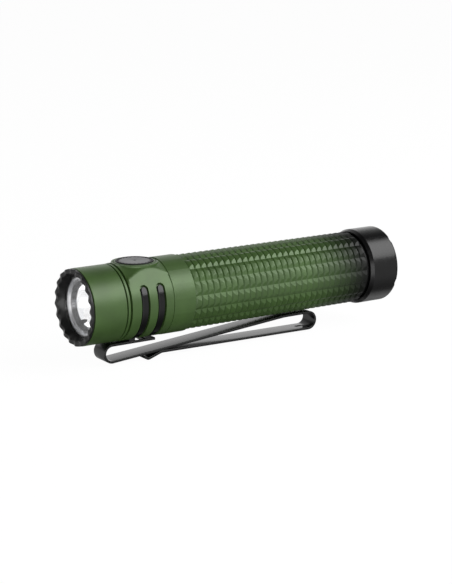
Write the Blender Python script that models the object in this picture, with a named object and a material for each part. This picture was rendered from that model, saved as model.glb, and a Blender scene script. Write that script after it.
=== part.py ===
"""Tactical flashlight for one rechargeable 18650 cell, as the pieces it comes apart into.

Metres, +Z up. The light lies along X, beam towards -X, side switch on top, pocket clip underneath. Pieces are
modelled from the light's own axis, with x = 0 at the front of the bezel, and hang from the empty light_axis,
which puts the world origin at the middle of the underside, level with the lowest point of the clip's lip.
Angles round the axis start at -Y and rise towards +Z.
"""

import math

import bmesh
import bpy

MM = 0.001
GAP = 0.3 * MM  # left between pieces that touch on the real light

# Driving dimensions
LENGTH = 117.4 * MM
CELL_RADIUS = 9.2 * MM
CELL_END = 105.2 * MM
BORE_RADIUS = CELL_RADIUS + 0.5 * MM
SPRUNG_STRIP = 0.8 * MM  # thickness of the clip's steel

# Outside radii, front to back
BEZEL_RADIUS = 12.0 * MM
HEAD_RADIUS = 12.08 * MM
SWITCH_RADIUS = 12.2 * MM
NECK_RADIUS = 12.31 * MM
KNURL_RADIUS = 11.95 * MM
CAP_RADIUS = 12.63 * MM

# Stations along the axis
BEZEL_SEAM = 1.0 * MM
SWITCH_START = 14.4 * MM
HEAD_SEAM = 29.4 * MM
SPIGOT_END = 34.6 * MM
NECK_END = 37.0 * MM
KNURL_END = CELL_END
CAP_START = 106.0 * MM
TUBE_END = 110.0 * MM

# Bezel and light engine
BEZEL_TEETH = 20
BEZEL_TOOTH_DEPTH = 0.55 * MM
BEZEL_TIP_ANGLE = 94.5
BEZEL_MOUTH_RADIUS = 10.6 * MM
LENS_OPENING = 9.5 * MM
LIP_DEPTH = 2.3 * MM
SKIRT_RADII = (10.25 * MM, 10.8 * MM)
SKIRT_END = 6.0 * MM
LENS_RADIUS = 9.9 * MM
LENS_FRONT = 3.9 * MM
LENS_THICKNESS = 1.1 * MM
OPTIC_FRONT = LENS_FRONT + LENS_THICKNESS + GAP
OPTIC_END = 12.7 * MM
LED_SIZE = 3.0 * MM
LED_FRONT = 12.4 * MM
LED_BOARD_FRONT = 13.6 * MM
LED_BOARD_RADIUS = 8.0 * MM
LED_SCREW_PLACE = (5.3 * MM, 2.2 * MM)  # y and z of one screw; the other is opposite
SHELF = (15.3 * MM, 18.2 * MM)  # solid web that carries the LED's heat into the head
WIRE_PLACE = (3.0 * MM, -5.0 * MM)  # y and z of the LED's wires, mirrored in y

# Head grooves as (start, width), then the side switch
HEAD_GROOVES = ((12.33 * MM, 0.45 * MM), (13.42 * MM, 0.9 * MM))
GROOVE_DEPTH = 0.5 * MM
SWITCH_X = 22.0 * MM
BOSS_TOP = 12.1 * MM
BOSS_RIM = 7.25 * MM
BOSS_CONE_SLOPE = 1.1  # radius gained for each unit down from the rim
BOSS_FLANK_ANGLE = 29.0  # where the flat flank leaves the round head
BOSS_SPAN = (14.6 * MM, 29.0 * MM)
POCKET_RADIUS = 5.95 * MM
BUTTON_RADIUS = 4.95 * MM
BUTTON_TOP = 12.15 * MM
SWITCH_BOARD_TOP = 8.1 * MM

# Driver and head spring
DRIVER_FRONT = 28.2 * MM
DRIVER_THICKNESS = 1.6 * MM
DRIVER_CHIPS = (  # y, z, width, height and depth of what is soldered to the board's front
    (0, 0.5 * MM, 5.0 * MM, 5.0 * MM, 3.0 * MM),
    (-5.2 * MM, 2.0 * MM, 3.0 * MM, 3.6 * MM, 1.2 * MM),
    (5.2 * MM, 1.5 * MM, 3.2 * MM, 2.6 * MM, 1.0 * MM),
    (0.5 * MM, -5.4 * MM, 3.0 * MM, 2.0 * MM, 1.4 * MM),
)
HEAD_SPRING_RADIUS = 3.4 * MM
SPRING_WIRE = 0.35 * MM  # half the wire's thickness

# Body tube and cell
KNURL_TEETH = 30
KNURL_PITCH = 2.25 * MM
KNURL_DEPTH = 0.45 * MM
KNURL_FIRST_TIP = 39.25 * MM
THREAD_RADIUS = 11.1 * MM
RING_GROOVE_DEPTH = 0.8 * MM
CELL_FRONT = 38.6 * MM
CELL_TIP = 36.2 * MM

# Tail
CAP_BORE = 11.6 * MM
CAP_WEB = (114.9 * MM, 115.9 * MM)
TAIL_HOLE_RADIUS = 7.7 * MM
TAIL_BOARD_FRONT = 111.6 * MM
TAIL_BUTTON_RADIUS = 7.2 * MM
TAIL_BUTTON_FRONT = 114.2 * MM
TAIL_BUTTON_END = 117.0 * MM
RIM_SCALLOPS = 5
RIM_SCALLOP_RADIUS = 6.0 * MM
RIM_SCALLOP_DEPTH = 0.35 * MM
RIM_SCALLOP_ANGLE = 50.0

# Pocket clip: one strip bent into an S, held by two claws in slots round the head
CLIP_WIDTH = 6.7 * MM
CLIP_PLATE_TOP = -12.5 * MM
CLIP_PLATE_END = 27.2 * MM
CLIP_FRONT_X = 11.9 * MM
CLIP_FRONT_RADIUS = 2.3 * MM  # inside of the front bend
CLIP_SLOPE = math.radians(4.92)
CLIP_TAIL_X = 86.9 * MM
CLIP_TAIL_TOP = -12.3 * MM
CLIP_TAIL_RADIUS = 2.35 * MM  # inside of the tail bend
CLIP_NIP = (33.0 * MM, -17.55 * MM)  # where the two arms come closest, on the outer arm's centre line
CLIP_LIP = (26.0 * MM, -19.15 * MM)  # corner that the lip is rounded from
CLIP_TIP = (23.0 * MM, -18.4 * MM)
CLIP_NIP_ROUND = 5.0 * MM
CLIP_LIP_ROUND = 1.6 * MM
CLAW_CENTRES = (18.9 * MM, 24.7 * MM)
CLAW_WIDTH = 2.2 * MM
CLAW_SLOT_WIDTH = 3.0 * MM
CLAW_RADII = (11.45 * MM, 12.15 * MM)
CLAW_TOP_ANGLE = 33.0
SLOT_TOP_ANGLE = 36.0

ROUND = 40  # facets round the outside pieces
FINE = 24  # facets round the small inside pieces


def material(name, colour, roughness, metallic):
    made = bpy.data.materials.new(name)
    made.use_nodes = True
    shader = made.node_tree.nodes["Principled BSDF"]
    shader.inputs["Base Color"].default_value = (*colour, 1.0)
    shader.inputs["Roughness"].default_value = roughness
    shader.inputs["Metallic"].default_value = metallic
    return made


def object_from(name, mesh_builder, finish, parent):
    """Makes an object whose mesh is given from the light's axis, hung from parent without moving it."""
    bmesh.ops.recalc_face_normals(mesh_builder, faces=mesh_builder.faces)
    mesh = bpy.data.meshes.new(name)
    mesh_builder.to_mesh(mesh)
    mesh_builder.free()
    mesh.shade_smooth()
    mesh.set_sharp_from_angle(angle=math.radians(35))
    made = bpy.data.objects.new(name, mesh)
    bpy.context.scene.collection.objects.link(made)
    hang(made, parent)
    if finish:
        mesh.materials.append(finish)
    return made


def hang(made, parent):
    """Parents an object so that its own coordinates stay those of the light's axis."""
    made.parent = parent
    if parent is not LIGHT_AXIS:
        made.location = -parent.location


def empty(name, place, parent=None):
    made = bpy.data.objects.new(name, None)
    made.location = place
    made.parent = parent
    bpy.context.scene.collection.objects.link(made)
    return made


def on_circle(x, radius, degrees):
    angle = math.radians(degrees)
    return (x, -radius * math.cos(angle), radius * math.sin(angle))


def turned(name, profile, finish, parent, facets=FINE, centre=(0.0, 0.0), wave=None):
    """Turns a closed (x, radius) outline about an axis along X. Points at radius 0 become one shared vertex.

    wave(x, radius, degrees) may return another x, for an edge that rises and falls round the ring.
    """
    built = bmesh.new()
    rings = []
    for x, radius in profile:
        if radius == 0:
            rings.append([built.verts.new((x, *centre))])
            continue
        ring = []
        for step in range(facets):
            degrees = 360 * step / facets
            px, py, pz = on_circle(x, radius, degrees)
            if wave:
                px = wave(x, radius, degrees)
            ring.append(built.verts.new((px, py + centre[0], pz + centre[1])))
        rings.append(ring)
    for here, there in zip(rings, rings[1:] + rings[:1]):
        for step in range(facets):
            after = (step + 1) % facets
            corners = [here[step % len(here)], here[after % len(here)]]
            corners += [there[after % len(there)], there[step % len(there)]]
            distinct = list(dict.fromkeys(corners))
            if len(distinct) > 2:
                built.faces.new(distinct)
    return object_from(name, built, finish, parent)


def upright(name, profile, finish, parent, facets=FINE):
    """Turns a closed (z, radius) outline about the side switch's upright axis."""
    made = turned(name, profile, finish, parent, facets)
    for vertex in made.data.vertices:
        x, y, z = vertex.co
        vertex.co = (SWITCH_X - z, y, x)
    return made


def tube_profile(start, end, inner, outer):
    return [(start, inner), (start, outer), (end, outer), (end, inner)]


def rod_profile(start, end, radius):
    return [(start, 0), (start, radius), (end, radius), (end, 0)]


def block(name, low, high, finish, parent):
    """A box between two corners."""
    built = bmesh.new()
    bmesh.ops.create_cube(built, size=1.0)
    for vertex in built.verts:
        vertex.co = [(a + b) / 2 + part * (b - a) for a, b, part in zip(low, high, vertex.co)]
    return object_from(name, built, finish, parent)


def swept(name, sections, finish, parent):
    """Joins four-cornered sections, each a list of four points, into one closed bar."""
    built = bmesh.new()
    loops = [[built.verts.new(point) for point in section] for section in sections]
    for here, there in zip(loops, loops[1:]):
        for corner in range(4):
            after = (corner + 1) % 4
            built.faces.new((here[corner], here[after], there[after], there[corner]))
    built.faces.new(loops[0])
    built.faces.new(loops[-1])
    return object_from(name, built, finish, parent)


def band(name, centre_x, width, radii, top_angle, finish, parent, step=9.0):
    """A band under the light, from top_angle on one side round the bottom to the same height on the other."""
    sweep = 180 + 2 * top_angle
    count = math.ceil(sweep / step)
    sections = []
    for index in range(count + 1):
        degrees = top_angle - sweep * index / count
        section = []
        for along, radius in ((-1, radii[0]), (-1, radii[1]), (1, radii[1]), (1, radii[0])):
            section.append(on_circle(centre_x + along * width / 2, radius, degrees))
        sections.append(section)
    return swept(name, sections, finish, parent)


def wire(name, points, thickness, finish, parent):
    """A round wire through the points, thickness being its radius, with closed ends."""
    curve = bpy.data.curves.new(name, "CURVE")
    curve.dimensions = "3D"
    curve.bevel_depth = thickness
    curve.bevel_resolution = 1
    curve.use_fill_caps = True
    spline = curve.splines.new("POLY")
    spline.points.add(len(points) - 1)
    for slot, point in zip(spline.points, points):
        slot.co = (*point, 1.0)
    curve.materials.append(finish)
    made = bpy.data.objects.new(name, curve)
    bpy.context.scene.collection.objects.link(made)
    hang(made, parent)
    return made


def coil(name, start, end, radius, turns, finish, parent):
    """A compression spring about the light's axis, closed at both ends by a flatter turn."""
    steps = 12
    points = []
    for index in range(turns * steps + 1):
        share = index / (turns * steps)
        eased = share - math.sin(2 * math.pi * share) / (2 * math.pi) * 0.6
        x = start + SPRING_WIRE + (end - start - 2 * SPRING_WIRE) * eased
        points.append(on_circle(x, radius, 360 * index / steps))
    return wire(name, points, SPRING_WIRE, finish, parent)


def combine(target, operation, *tools):
    """Cuts tools from target, or joins them to it, and hides them."""
    for tool in tools:
        modifier = target.modifiers.new(tool.name, "BOOLEAN")
        modifier.operation = operation
        modifier.object = tool
        tool.hide_render = True
        tool.display_type = "WIRE"
    return target


def rounded(corners):
    """Points along a path of (x, z, rounding) corners, with each inner corner replaced by an arc."""
    points = [corners[0][:2]]
    for before, corner, after in zip(corners, corners[1:], corners[2:]):
        (ax, az), (bx, bz), (cx, cz) = before[:2], corner[:2], after[:2]
        turn_in = math.atan2(bz - az, bx - ax)
        turn_out = math.atan2(cz - bz, cx - bx)
        turn = math.remainder(turn_out - turn_in, 2 * math.pi)
        reach = corner[2] * math.tan(abs(turn) / 2)
        side = math.copysign(1, turn)
        start_x, start_z = bx - reach * math.cos(turn_in), bz - reach * math.sin(turn_in)
        hub_x = start_x - side * corner[2] * math.sin(turn_in)
        hub_z = start_z + side * corner[2] * math.cos(turn_in)
        count = max(2, math.ceil(abs(math.degrees(turn)) / 15))
        for index in range(count + 1):
            heading = turn_in + turn * index / count
            x = hub_x + side * corner[2] * math.sin(heading)
            z = hub_z - side * corner[2] * math.cos(heading)
            points.append((x, z))
    points.append(corners[-1][:2])
    return points


def arc(hub, radius, first, last, step=15.0):
    """Points on an arc in the XZ plane, in degrees from +X towards +Z."""
    count = math.ceil(abs(last - first) / step)
    angles = [math.radians(first + (last - first) * index / count) for index in range(count + 1)]
    return [(hub[0] + radius * math.cos(a), hub[1] + radius * math.sin(a)) for a in angles]


def strip_sections(path):
    """Sections of the clip's flat steel along a path of (x, z) points on its middle line."""
    sections = []
    for index, (x, z) in enumerate(path):
        before = path[max(index - 1, 0)]
        after = path[min(index + 1, len(path) - 1)]
        run, rise = after[0] - before[0], after[1] - before[1]
        length = math.hypot(run, rise)
        nx, nz = -rise / length * SPRUNG_STRIP / 2, run / length * SPRUNG_STRIP / 2
        half = CLIP_WIDTH / 2
        sections.append(
            [(x + nx, -half, z + nz), (x + nx, half, z + nz), (x - nx, half, z - nz), (x - nx, -half, z - nz)]
        )
    return sections


# The clip's middle line, from the plate round the front bend, along the inner arm, round the tail bend and
# back along the outer arm to the lip.
FRONT_RADIUS = CLIP_FRONT_RADIUS + SPRUNG_STRIP / 2
TAIL_RADIUS = CLIP_TAIL_RADIUS + SPRUNG_STRIP / 2
FRONT_HUB = (CLIP_FRONT_X, CLIP_PLATE_TOP - SPRUNG_STRIP / 2 - FRONT_RADIUS)
TAIL_HUB = (CLIP_TAIL_X, CLIP_TAIL_TOP - SPRUNG_STRIP / 2 - TAIL_RADIUS)
FRONT_HINGE = (FRONT_HUB[0] - FRONT_RADIUS, FRONT_HUB[1])
TAIL_HINGE = (TAIL_HUB[0] + TAIL_RADIUS, TAIL_HUB[1])
HALF_GAP_FRONT = math.degrees(GAP / 2 / FRONT_RADIUS)
HALF_GAP_TAIL = math.degrees(GAP / 2 / TAIL_RADIUS)


def plate_path():
    bend = arc(FRONT_HUB, FRONT_RADIUS, 90, 180 - HALF_GAP_FRONT)
    return [(CLIP_PLATE_END, CLIP_PLATE_TOP - SPRUNG_STRIP / 2)] + bend


def inner_arm_path():
    bend = arc(FRONT_HUB, FRONT_RADIUS, 180 + HALF_GAP_FRONT, 270 + math.degrees(CLIP_SLOPE))
    level = TAIL_HUB[1] + TAIL_RADIUS
    start_x, start_z = bend[-1]
    knee_x = start_x + (level - start_z) / math.tan(CLIP_SLOPE)
    arm = rounded([(start_x, start_z), (knee_x, level, 20 * MM), (TAIL_HUB[0], level)])
    return bend[:-1] + arm + arc(TAIL_HUB, TAIL_RADIUS, 90, HALF_GAP_TAIL)[1:]


def outer_arm_path():
    arm = rounded(
        [
            (TAIL_HUB[0], TAIL_HUB[1] - TAIL_RADIUS),
            (*CLIP_NIP, CLIP_NIP_ROUND),
            (*CLIP_LIP, CLIP_LIP_ROUND),
            CLIP_TIP,
        ]
    )
    return arc(TAIL_HUB, TAIL_RADIUS, -HALF_GAP_TAIL, -90)[:-1] + arm


def lowest_of_clip():
    return min(point[2] for section in strip_sections(outer_arm_path()) for point in section)


for old in list(bpy.data.objects):
    bpy.data.objects.remove(old)

LIGHT_AXIS = empty("light_axis", (-LENGTH / 2, 0, -lowest_of_clip()))

ANODISED_GREEN = material("anodised_green", (0.075, 0.155, 0.05), 0.42, 0.8)
ANODISED_BLACK = material("anodised_black", (0.02, 0.02, 0.021), 0.45, 0.7)
CLIP_STEEL = material("clip_steel", (0.025, 0.025, 0.027), 0.4, 0.8)
BUTTON_STEEL = material("button_steel", (0.35, 0.34, 0.36), 0.35, 1.0)
BLACK_RUBBER = material("black_rubber", (0.015, 0.015, 0.015), 0.7, 0.0)
CLEAR_GLASS = material("clear_glass", (0.9, 0.93, 0.95), 0.03, 0.0)
CLEAR_OPTIC = material("clear_optic", (0.92, 0.93, 0.95), 0.08, 0.0)
BLACK_PLASTIC = material("black_plastic", (0.02, 0.02, 0.02), 0.5, 0.0)
LED_YELLOW = material("led_yellow", (0.85, 0.75, 0.2), 0.4, 0.0)
COPPER = material("copper", (0.75, 0.4, 0.25), 0.35, 1.0)
CIRCUIT_BOARD = material("circuit_board", (0.02, 0.16, 0.07), 0.45, 0.0)
BRASS = material("brass", (0.75, 0.58, 0.28), 0.3, 1.0)
GOLD_PLATE = material("gold_plate", (0.85, 0.63, 0.28), 0.25, 1.0)
STEEL = material("steel", (0.6, 0.6, 0.6), 0.35, 1.0)
CELL_WRAP = material("cell_wrap", (0.03, 0.03, 0.035), 0.4, 0.0)
WHITE_PAPER = material("white_paper", (0.85, 0.85, 0.82), 0.8, 0.0)
RED_WIRE = material("red_wire", (0.6, 0.03, 0.02), 0.5, 0.0)
BLACK_WIRE = material("black_wire", (0.02, 0.02, 0.02), 0.5, 0.0)


def bezel_ring():
    """Screw-in strike bezel, its front edge cut into round-bottomed teeth, with a lip that holds the lens."""

    def teeth(x, radius, degrees):
        if x > 0:
            return x
        turn = math.radians((degrees - BEZEL_TIP_ANGLE) * BEZEL_TEETH)
        return BEZEL_TOOTH_DEPTH * (1 - math.cos(turn)) / 2

    lip_back = LIP_DEPTH + GAP
    outline = [
        (0, BEZEL_MOUTH_RADIUS),
        (0, BEZEL_RADIUS),
        (BEZEL_SEAM, BEZEL_RADIUS),
        (BEZEL_SEAM, SKIRT_RADII[1]),
        (SKIRT_END, SKIRT_RADII[1]),
        (SKIRT_END, SKIRT_RADII[0]),
        (lip_back, SKIRT_RADII[0]),
        (lip_back, LENS_OPENING),
        (LIP_DEPTH, LENS_OPENING),
    ]
    turned("bezel_ring", outline, ANODISED_BLACK, LIGHT_AXIS, BEZEL_TEETH * 4, wave=teeth)


def light_engine():
    """Gasket, lens, collimating optic in its holder, and the LED on its copper board."""
    ring_front = LIP_DEPTH + 2 * GAP
    ring = tube_profile(ring_front, LENS_FRONT - GAP, LENS_OPENING + 0.1 * MM, LENS_RADIUS)
    turned("lens_gasket", ring, BLACK_RUBBER, LIGHT_AXIS)
    glass = rod_profile(LENS_FRONT, LENS_FRONT + LENS_THICKNESS, LENS_RADIUS)
    turned("lens_glass", glass, CLEAR_GLASS, LIGHT_AXIS, ROUND)

    flange_radius = LENS_RADIUS - 0.2 * MM
    flange_end = OPTIC_FRONT + 0.9 * MM
    bowl = []
    for share in (0, 0.25, 0.5, 0.75, 1):
        x = flange_end + (OPTIC_END - flange_end) * share
        bowl.append((x, 8.9 * MM - 5.6 * MM * share**1.5))
    pocket = [(OPTIC_END, 2.5 * MM), (9.6 * MM, 2.2 * MM), (9.3 * MM, 0)]
    optic = [(OPTIC_FRONT, 0), (OPTIC_FRONT, flange_radius), (flange_end, flange_radius)]
    turned("collimator_optic", optic + bowl + pocket, CLEAR_OPTIC, LIGHT_AXIS)

    holder_front = flange_end + GAP
    holder_end = 12.0 * MM
    inside = []
    for share in (0, 0.33, 0.66, 1):
        x = holder_front + (holder_end - holder_front) * share
        along = (x - flange_end) / (OPTIC_END - flange_end)
        inside.append((x, 8.9 * MM - 5.6 * MM * along**1.5 + 1.5 * GAP))
    outside = [(holder_end, LENS_RADIUS), (holder_front, LENS_RADIUS)]
    turned("optic_holder", inside + outside, BLACK_PLASTIC, LIGHT_AXIS)

    half = LED_SIZE / 2
    led_back = LED_BOARD_FRONT - GAP
    block("led_emitter", (LED_FRONT, -half, -half), (led_back, half, half), LED_YELLOW, LIGHT_AXIS)

    board_back = SHELF[0] - 1.5 * GAP
    disc = rod_profile(LED_BOARD_FRONT, board_back, LED_BOARD_RADIUS)
    board = turned("led_board", disc, COPPER, LIGHT_AXIS)
    for number, side in enumerate((-1, 1), 1):
        place = (side * LED_SCREW_PLACE[0], side * LED_SCREW_PLACE[1])
        hole = rod_profile(LED_BOARD_FRONT - MM, SHELF[0] + 2.2 * MM, 1.1 * MM)
        cutter = turned(f"led_screw_hole_{side + 1}", hole, None, LIGHT_AXIS, 12, place)
        combine(board, "DIFFERENCE", cutter)
        head_front = led_back - 0.8 * MM
        shank_end = SHELF[0] + 1.8 * MM
        outline = [(head_front, 0), (head_front, 1.4 * MM), (led_back, 1.4 * MM), (led_back, 0.8 * MM)]
        outline += [(shank_end, 0.8 * MM), (shank_end, 0)]
        turned(f"led_board_screw_{number}", outline, STEEL, LIGHT_AXIS, 12, place)
    for name, side, finish in (("led_wire_positive", -1, RED_WIRE), ("led_wire_negative", 1, BLACK_WIRE)):
        y, z = side * WIRE_PLACE[0], WIRE_PLACE[1]
        start, end = board_back + GAP, DRIVER_FRONT - 2 * GAP
        bow = 1.2 * MM
        run = [(start, y, z), (SHELF[1], y, z), (SHELF[1] + 2 * MM, y + side * bow / 2, z - bow / 2)]
        run += [(end - 3 * MM, y + side * bow, z - bow / 2), (end, y + side * bow, z)]
        wire(name, run, 0.45 * MM, finish, LIGHT_AXIS)


def boss():
    """Flat-topped boss of the side switch: flanks tangent to the head, cut by a cone about the button."""
    tangent = on_circle(0, SWITCH_RADIUS, BOSS_FLANK_ANGLE)
    climb = (BOSS_TOP - tangent[2]) / math.cos(math.radians(BOSS_FLANK_ANGLE))
    shoulder = tangent[1] + climb * math.sin(math.radians(BOSS_FLANK_ANGLE))
    inside = 0.3 * MM  # the flanks start just under the head's skin
    low_y, low_z = tangent[1] + inside, tangent[2]
    sections = []
    for x in BOSS_SPAN:
        sections.append([(x, low_y, low_z), (x, shoulder, BOSS_TOP), (x, -shoulder, BOSS_TOP), (x, -low_y, low_z)])
    prism = swept("boss_prism", sections, None, LIGHT_AXIS)
    drop = BOSS_TOP - low_z + MM
    above = 1.0 * MM
    cone = [
        (BOSS_TOP + above, 0),
        (BOSS_TOP + above, BOSS_RIM - above * BOSS_CONE_SLOPE),
        (BOSS_TOP - drop, BOSS_RIM + drop * BOSS_CONE_SLOPE),
        (BOSS_TOP - drop, 0),
    ]
    shaper = upright("boss_cone", cone, None, LIGHT_AXIS, ROUND)
    combine(prism, "INTERSECT", shaper)
    return prism


def head_housing():
    """Head: bezel thread, solid shelf, switch boss and pocket, claw slots, and the spigot into the tube."""
    front = BEZEL_SEAM + GAP
    outline = [(front, HEAD_RADIUS - 0.1 * MM), (front + 0.1 * MM, HEAD_RADIUS)]
    for start, width in HEAD_GROOVES:
        outline += [(start, HEAD_RADIUS), (start, HEAD_RADIUS - GROOVE_DEPTH)]
        outline += [(start + width, HEAD_RADIUS - GROOVE_DEPTH), (start + width, HEAD_RADIUS)]
    shoulder = HEAD_SEAM - GAP
    spigot = THREAD_RADIUS - 0.2 * MM
    groove = (HEAD_SEAM + 0.8 * MM, HEAD_SEAM + 2.1 * MM)
    outline += [(SWITCH_START, SWITCH_RADIUS), (shoulder, SWITCH_RADIUS), (shoulder, spigot)]
    outline += [(groove[0], spigot), (groove[0], spigot - RING_GROOVE_DEPTH)]
    outline += [(groove[1], spigot - RING_GROOVE_DEPTH), (groove[1], spigot), (SPIGOT_END, spigot)]
    outline += [(SPIGOT_END, 0), (front, 0)]
    head = turned("head_housing", outline, ANODISED_GREEN, LIGHT_AXIS, ROUND)
    combine(head, "UNION", boss())

    engine_bore = LENS_RADIUS + 0.5 * MM
    thread_end = SKIRT_END + 0.5 * MM
    thread_radius = SKIRT_RADII[1] + GAP
    cavity = [(front - MM, 0), (front - MM, thread_radius), (thread_end, thread_radius)]
    cavity += [(thread_end, engine_bore), (SHELF[0], engine_bore), (SHELF[0], 0)]
    cutters = [turned("engine_cavity", cavity, None, LIGHT_AXIS, ROUND)]
    rear_bore = rod_profile(SHELF[1], SPIGOT_END + MM, BORE_RADIUS)
    cutters.append(turned("rear_bore", rear_bore, None, LIGHT_AXIS, ROUND))
    pocket = upright("switch_pocket", rod_profile(8.3 * MM, BOSS_TOP + MM, POCKET_RADIUS), None, LIGHT_AXIS, ROUND)
    cutters.append(pocket)
    for number, centre in enumerate(CLAW_CENTRES):
        radii = (CLAW_RADII[0] - GAP, SWITCH_RADIUS + MM)
        cutters.append(
            band(f"claw_slot_{number}", centre, CLAW_SLOT_WIDTH, radii, SLOT_TOP_ANGLE, None, LIGHT_AXIS)
        )
    for side in (-1, 1):
        hole = rod_profile(SHELF[0] - MM, SHELF[1] + MM, 0.9 * MM)
        place = (side * WIRE_PLACE[0], WIRE_PLACE[1])
        cutters.append(turned(f"wire_hole_{side + 1}", hole, None, LIGHT_AXIS, 12, place))
        cutters.append(bpy.data.objects[f"led_screw_hole_{side + 1}"])
    combine(head, "DIFFERENCE", *cutters)
    ring_start = groove[0] + GAP
    ring = tube_profile(ring_start, groove[1] - GAP, spigot - RING_GROOVE_DEPTH + GAP, spigot)
    turned("head_joint_ring", ring, BLACK_RUBBER, LIGHT_AXIS)


def side_switch():
    """Metal button in its rubber boot, the boot's carrier, and the tact switch on its little board."""
    axis = empty("side_button_axis", (SWITCH_X, 0, 0), LIGHT_AXIS)
    button = [
        (BUTTON_TOP, 0),
        (BUTTON_TOP, BUTTON_RADIUS - 0.2 * MM),
        (BUTTON_TOP - 0.2 * MM, BUTTON_RADIUS),
        (BUTTON_TOP - 1.2 * MM, BUTTON_RADIUS),
        (BUTTON_TOP - 1.2 * MM, 1.2 * MM),
        (9.7 * MM, 1.2 * MM),
        (9.7 * MM, 0),
    ]
    upright("side_button", button, BUTTON_STEEL, axis, ROUND)
    boot = [
        (BOSS_TOP, BUTTON_RADIUS + GAP),
        (BOSS_TOP, POCKET_RADIUS - GAP),
        (9.9 * MM, POCKET_RADIUS - GAP),
        (9.9 * MM, 4.0 * MM),
        (10.3 * MM, 4.0 * MM),
        (10.3 * MM, BUTTON_RADIUS + GAP),
    ]
    upright("button_boot", boot, BLACK_RUBBER, LIGHT_AXIS, ROUND)
    carrier = tube_profile(8.6 * MM, 9.6 * MM, 3.4 * MM, POCKET_RADIUS - GAP)
    upright("button_carrier", carrier, BLACK_PLASTIC, LIGHT_AXIS)
    half = 1.7 * MM
    low, high = SWITCH_BOARD_TOP + GAP, 9.1 * MM
    corner = (SWITCH_X - half, -half, low)
    block("side_tact_switch", corner, (SWITCH_X + half, half, high), STEEL, LIGHT_AXIS)
    board_low = (SHELF[1] + GAP, -4.3 * MM, SWITCH_BOARD_TOP - 0.8 * MM)
    board_high = (26.4 * MM, 4.3 * MM, SWITCH_BOARD_TOP)
    block("side_switch_board", board_low, board_high, CIRCUIT_BOARD, LIGHT_AXIS)


def driver():
    """Driver board with its inductor and chips, the ring that holds it, and the spring to the cell."""
    back = DRIVER_FRONT + DRIVER_THICKNESS
    disc = rod_profile(DRIVER_FRONT, back, BORE_RADIUS - GAP)
    board = turned("driver_board", disc, CIRCUIT_BOARD, LIGHT_AXIS)
    for number, (y, z, width, height, depth) in enumerate(DRIVER_CHIPS):
        low = (DRIVER_FRONT - depth, y - width / 2, z - height / 2)
        high = (DRIVER_FRONT + 0.2 * MM, y + width / 2, z + height / 2)
        combine(board, "UNION", block(f"chip_{number}", low, high, None, LIGHT_AXIS))
    ring = tube_profile(back + GAP, back + GAP + 1.2 * MM, 6.8 * MM, BORE_RADIUS - GAP)
    turned("driver_retaining_ring", ring, BRASS, LIGHT_AXIS)
    coil("head_contact_spring", back + GAP, CELL_TIP - GAP, HEAD_SPRING_RADIUS, 3, GOLD_PLATE, LIGHT_AXIS)


def knurl():
    """(x, radius) points of the ring teeth along the tube."""
    points = []
    for tooth in range(KNURL_TEETH):
        tip = KNURL_FIRST_TIP + tooth * KNURL_PITCH
        points += [(tip - KNURL_PITCH / 2, KNURL_RADIUS - KNURL_DEPTH), (tip, KNURL_RADIUS)]
    return points


def body_tube():
    """Tube with the smooth neck, the ring teeth and the threaded tail that the cap screws on."""
    bevel = 0.2 * MM
    groove = (106.9 * MM, 108.2 * MM)
    floor = THREAD_RADIUS - RING_GROOVE_DEPTH
    outline = [(HEAD_SEAM, NECK_RADIUS - bevel), (HEAD_SEAM + bevel, NECK_RADIUS)]
    outline += [(NECK_END - bevel, NECK_RADIUS), (NECK_END, NECK_RADIUS - 2 * bevel)]
    outline += knurl()
    outline += [(KNURL_END, KNURL_RADIUS - bevel), (KNURL_END, THREAD_RADIUS)]
    outline += [(groove[0], THREAD_RADIUS), (groove[0], floor), (groove[1], floor), (groove[1], THREAD_RADIUS)]
    outline += [(TUBE_END, THREAD_RADIUS), (TUBE_END, BORE_RADIUS)]
    socket_end = SPIGOT_END + GAP
    outline += [(socket_end, BORE_RADIUS), (socket_end, THREAD_RADIUS + 0.1 * MM)]
    outline += [(HEAD_SEAM, THREAD_RADIUS + 0.1 * MM)]
    turned("body_tube", outline, ANODISED_GREEN, LIGHT_AXIS)
    ring = tube_profile(groove[0] + GAP, groove[1] - GAP, floor + GAP, THREAD_RADIUS + 0.2 * MM)
    turned("tail_joint_ring", ring, BLACK_RUBBER, LIGHT_AXIS)


def cell(axis):
    """Rechargeable cell: wrapped can, top insulator and positive button, which slide out with the cap."""
    bevel = 0.5 * MM
    can = [(CELL_FRONT, 0), (CELL_FRONT, CELL_RADIUS - bevel), (CELL_FRONT + bevel, CELL_RADIUS)]
    can += [(CELL_END - bevel, CELL_RADIUS), (CELL_END, CELL_RADIUS - bevel), (CELL_END, 0)]
    turned("battery_cell", can, CELL_WRAP, axis)
    front = CELL_FRONT - GAP
    washer = tube_profile(front - 0.9 * MM, front, 4.5 * MM, CELL_RADIUS - 2 * bevel)
    turned("battery_top_insulator", washer, WHITE_PAPER, axis)
    turned("battery_positive_button", rod_profile(CELL_TIP, front, 3.9 * MM), STEEL, axis)


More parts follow.
